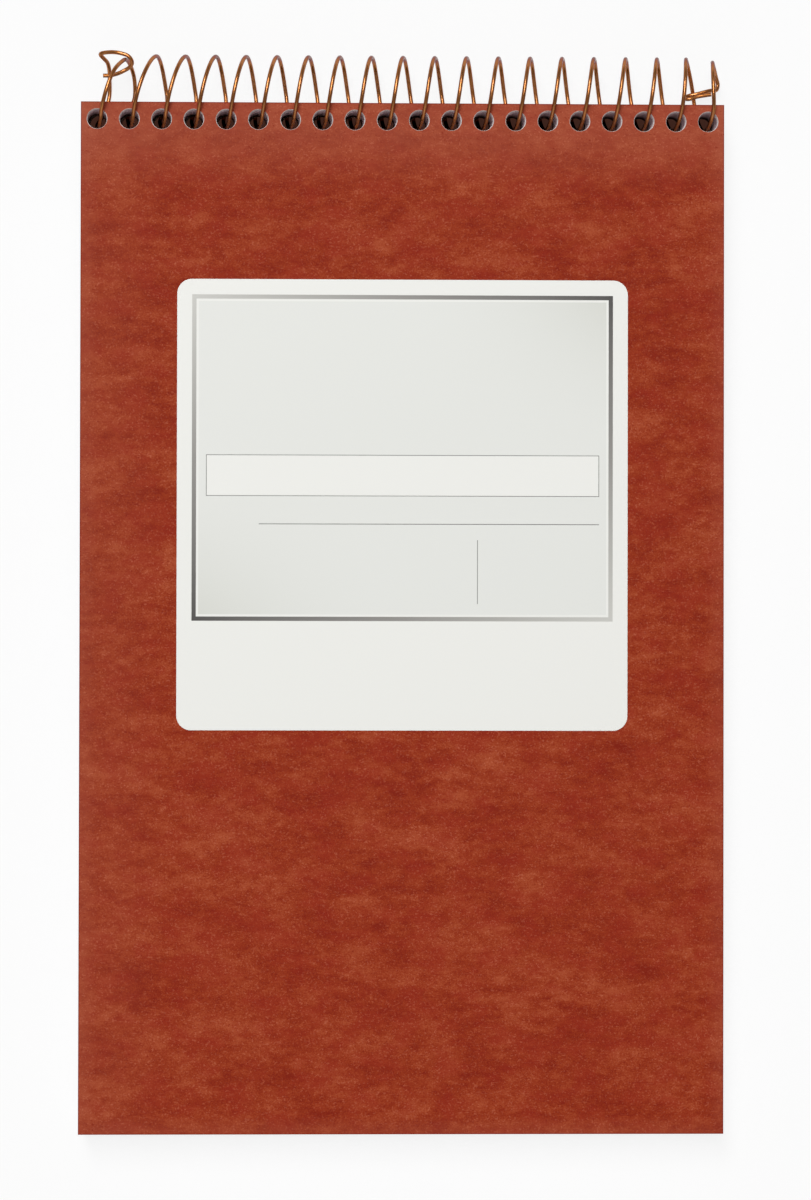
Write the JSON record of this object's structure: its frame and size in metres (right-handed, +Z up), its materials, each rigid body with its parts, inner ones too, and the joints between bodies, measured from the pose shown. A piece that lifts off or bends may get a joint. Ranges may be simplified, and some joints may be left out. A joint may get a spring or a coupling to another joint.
{
  "type": "writing pad",
  "caption": "Top-bound writing pad: mottled red card cover with a square paper label, a thick block of sheets and a board back on a copper-coloured wire coil.",
  "frame": {"origin": "on the table, under the middle of the pad's outline with its coil", "axes": "+X along the coil, to the right as the cover is read; +Y from the foot of the pad to the coil; +Z up out of the front cover"},
  "size_m": [0.1274, 0.2142, 0.0152],
  "materials": {
    "red_card": "matte",
    "label_paper": "satin",
    "page_paper": "matte",
    "grey_board": "matte",
    "copper_wire": "satin"
  },
  "bodies": {
    "pad": {"page_block": "page_paper", "wire_coil": "copper_wire"},
    "front_cover": {"front_cover": "red_card", "label": "label_paper"},
    "back_cover": {"back_cover": "grey_board"}
  },
  "joints": [
    {"name": "front_cover_turn", "type": "hinge", "parent": "pad", "child": "front_cover", "pos_m": [0, 0.09878, 0.0076], "axis": [-1, 0, 0], "range_deg": [0, 180], "deforming": ["wire_coil"]},
    {"name": "back_cover_turn", "type": "hinge", "parent": "pad", "child": "back_cover", "pos_m": [0, 0.09878, 0.0076], "axis": [1, 0, 0], "range_deg": [0, 180], "deforming": ["wire_coil"]}
  ]
}
